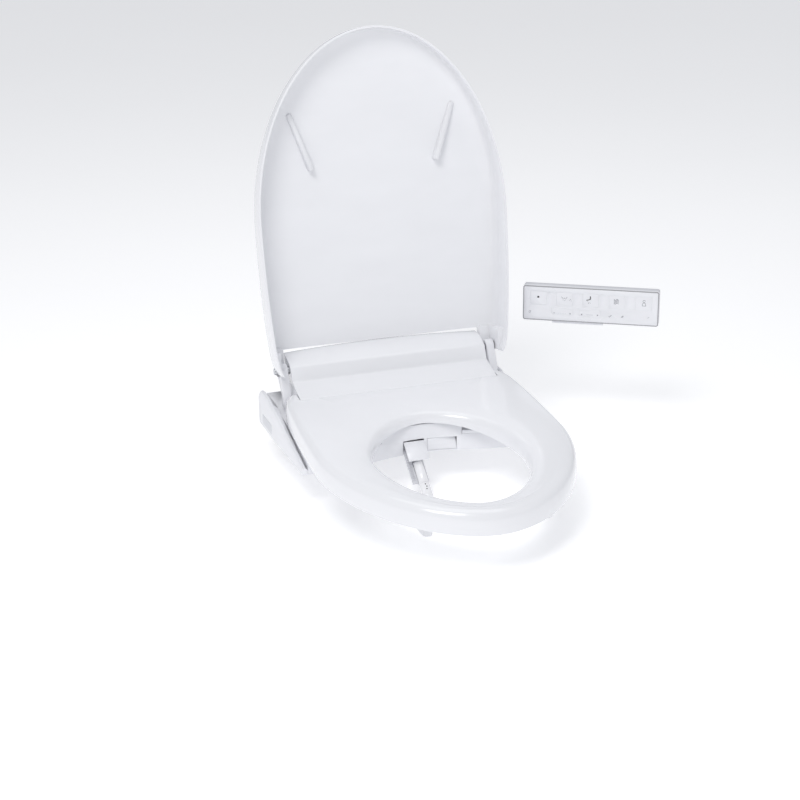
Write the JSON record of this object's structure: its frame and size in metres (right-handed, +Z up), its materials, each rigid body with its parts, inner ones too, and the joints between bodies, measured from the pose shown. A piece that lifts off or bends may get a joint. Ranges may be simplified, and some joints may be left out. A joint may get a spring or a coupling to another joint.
{
  "type": "electric bidet seat",
  "caption": "Electric bidet toilet seat with hinged lid and heated seat ring, extending wash wand, warm-air dryer and a wall-held push-key remote.",
  "frame": {"origin": "midway between the two mounting bolts, on the underside of the mounting plate, which rests on the deck of the bowl", "axes": "+X to the right when facing the toilet, +Y to the rear, +Z up; the user sits towards -Y"},
  "size_m": [0.621, 0.553, 0.6433],
  "materials": {
    "gloss_white": "gloss",
    "satin_white": "satin",
    "wand_white": "gloss",
    "inner_white": "matte",
    "grey_plastic": "satin",
    "soft_white": "matte",
    "dark_plastic": "satin",
    "steel": "satin",
    "brass": "satin",
    "circuit_board": "satin"
  },
  "bodies": {
    "base": {"mounting_plate": "inner_white", "mounting_bolt_left": "steel", "mounting_bolt_right": "steel", "mounting_nut_left": "inner_white", "mounting_nut_right": "inner_white", "base_tray": "satin_white", "upper_case": "satin_white", "top_cover": "gloss_white", "side_cover_left": "satin_white", "side_cover_right": "satin_white", "water_inlet": "brass", "inlet_valve": "dark_plastic", "heater_tank": "inner_white", "control_board": "circuit_board", "cord_gland": "soft_white", "nozzle_guide": "inner_white", "nozzle_motor": "steel", "dryer_duct": "inner_white", "fan_housing": "inner_white", "dryer_heater": "steel", "lid_damper": "grey_plastic", "seat_damper": "grey_plastic", "wall_bracket": "satin_white"},
    "lid": {"lid_shell": "gloss_white", "lid_bumper_left": "soft_white", "lid_bumper_right": "soft_white", "lid_hinge_shaft": "steel"},
    "seat": {"seat_top": "gloss_white", "seat_bottom": "inner_white", "seat_heater": "brass", "seat_bumper_rear_left": "soft_white", "seat_bumper_rear_right": "soft_white", "seat_bumper_front_left": "soft_white", "seat_bumper_front_right": "soft_white", "seat_hinge_arm_left": "satin_white", "seat_hinge_arm_right": "satin_white", "seat_hinge_shaft": "steel"},
    "trough": {"nozzle_trough": "grey_plastic"},
    "wand": {"nozzle_wand": "wand_white", "nozzle_tip": "wand_white"},
    "pinion": {"drive_pinion": "inner_white"},
    "flap": {"nozzle_flap": "satin_white"},
    "door": {"dryer_door": "satin_white"},
    "fan": {"dryer_fan": "dark_plastic"},
    "release": {"release_button": "satin_white"},
    "filter": {"deodorizer_filter": "inner_white"},
    "remote": {"remote_front": "satin_white", "remote_back": "grey_plastic", "remote_board": "circuit_board", "battery_lower": "steel", "battery_upper": "steel"},
    "battery_cover": {"battery_door": "grey_plastic"},
    "key_stop": {"key_stop": "satin_white"},
    "key_rear": {"key_rear": "satin_white"},
    "key_front": {"key_front": "satin_white"},
    "key_dryer": {"key_dryer": "satin_white"},
    "key_person": {"key_person": "satin_white"},
    "rocker_pressure": {"rocker_pressure": "satin_white"},
    "rocker_position": {"rocker_position": "satin_white"}
  },
  "joints": [
    {"name": "lid_hinge", "type": "hinge", "parent": "base", "child": "lid", "pos_m": [0, 0.012, 0.098], "axis": [1, 0, 0], "range_deg": [0, 105]},
    {"name": "seat_hinge", "type": "hinge", "parent": "base", "child": "seat", "pos_m": [0, 0.012, 0.098], "axis": [1, 0, 0], "range_deg": [-94, 0]},
    {"name": "trough_slide", "type": "slide", "parent": "base", "child": "trough", "axis": [0, 0.7986, 0.6018], "range_m": [0, 0.056]},
    {"name": "wand_slide", "type": "slide", "parent": "trough", "child": "wand", "axis": [0, 0.7986, 0.6018], "range_m": [0, 0.046]},
    {"name": "pinion_spin", "type": "hinge", "parent": "base", "child": "pinion", "pos_m": [-0.0228, -0.12046, 0.0222], "axis": [1, 0, 0], "range_deg": [0, 645]},
    {"name": "flap_hinge", "type": "hinge", "parent": "base", "child": "flap", "pos_m": [-0.01, -0.141, 0.0203], "axis": [1, 0, 0], "range_deg": [-28, 0]},
    {"name": "dryer_door_hinge", "type": "hinge", "parent": "base", "child": "door", "pos_m": [0.03325, -0.1379, 0.0199], "axis": [1, 0, 0], "range_deg": [-60, 0]},
    {"name": "dryer_fan_spin", "type": "hinge", "parent": "base", "child": "fan", "pos_m": [0.046, -0.058, 0.018], "axis": [0, 0, 1], "continuous": true},
    {"name": "release_button_push", "type": "slide", "parent": "base", "child": "release", "axis": [-1, 0, 0], "range_m": [0, 0.003], "stiffness_N_per_m": 400},
    {"name": "filter_slide", "type": "slide", "parent": "base", "child": "filter", "axis": [-1, 0, 0], "range_m": [0, 0.06]},
    {"name": "remote_lift", "type": "slide", "parent": "base", "child": "remote", "axis": [0, 0, 1], "range_m": [0, 0.06]},
    {"name": "battery_cover_slide", "type": "slide", "parent": "remote", "child": "battery_cover", "axis": [0.515, 0.8572, 0], "range_m": [0, 0.012]},
    {"name": "key_stop_push", "type": "slide", "parent": "remote", "child": "key_stop", "axis": [0.515, 0.8572, 0], "range_m": [0, 0.0008], "stiffness_N_per_m": 300},
    {"name": "key_rear_push", "type": "slide", "parent": "remote", "child": "key_rear", "axis": [0.515, 0.8572, 0], "range_m": [0, 0.0008], "stiffness_N_per_m": 300},
    {"name": "key_front_push", "type": "slide", "parent": "remote", "child": "key_front", "axis": [0.515, 0.8572, 0], "range_m": [0, 0.0008], "stiffness_N_per_m": 300},
    {"name": "key_dryer_push", "type": "slide", "parent": "remote", "child": "key_dryer", "axis": [0.515, 0.8572, 0], "range_m": [0, 0.0008], "stiffness_N_per_m": 300},
    {"name": "key_person_push", "type": "slide", "parent": "remote", "child": "key_person", "axis": [0.515, 0.8572, 0], "range_m": [0, 0.0008], "stiffness_N_per_m": 300},
    {"name": "rocker_pressure_tilt", "type": "hinge", "parent": "remote", "child": "rocker_pressure", "pos_m": [0.29132, 0.01606, 0.1385], "axis": [0, 0, 1], "range_deg": [-2.5, 2.5], "stiffness_Nm_per_rad": 0.02},
    {"name": "rocker_position_tilt", "type": "hinge", "parent": "remote", "child": "rocker_position", "pos_m": [0.32818, -0.00609, 0.1385], "axis": [0, 0, 1], "range_deg": [-2.5, 2.5], "stiffness_Nm_per_rad": 0.02}
  ],
  "couplings": [
    {"joint": "wand_slide", "follows": "trough_slide", "ratio": 0.8214},
    {"joint": "pinion_spin", "follows": "trough_slide", "rad_per_m": 200}
  ]
}
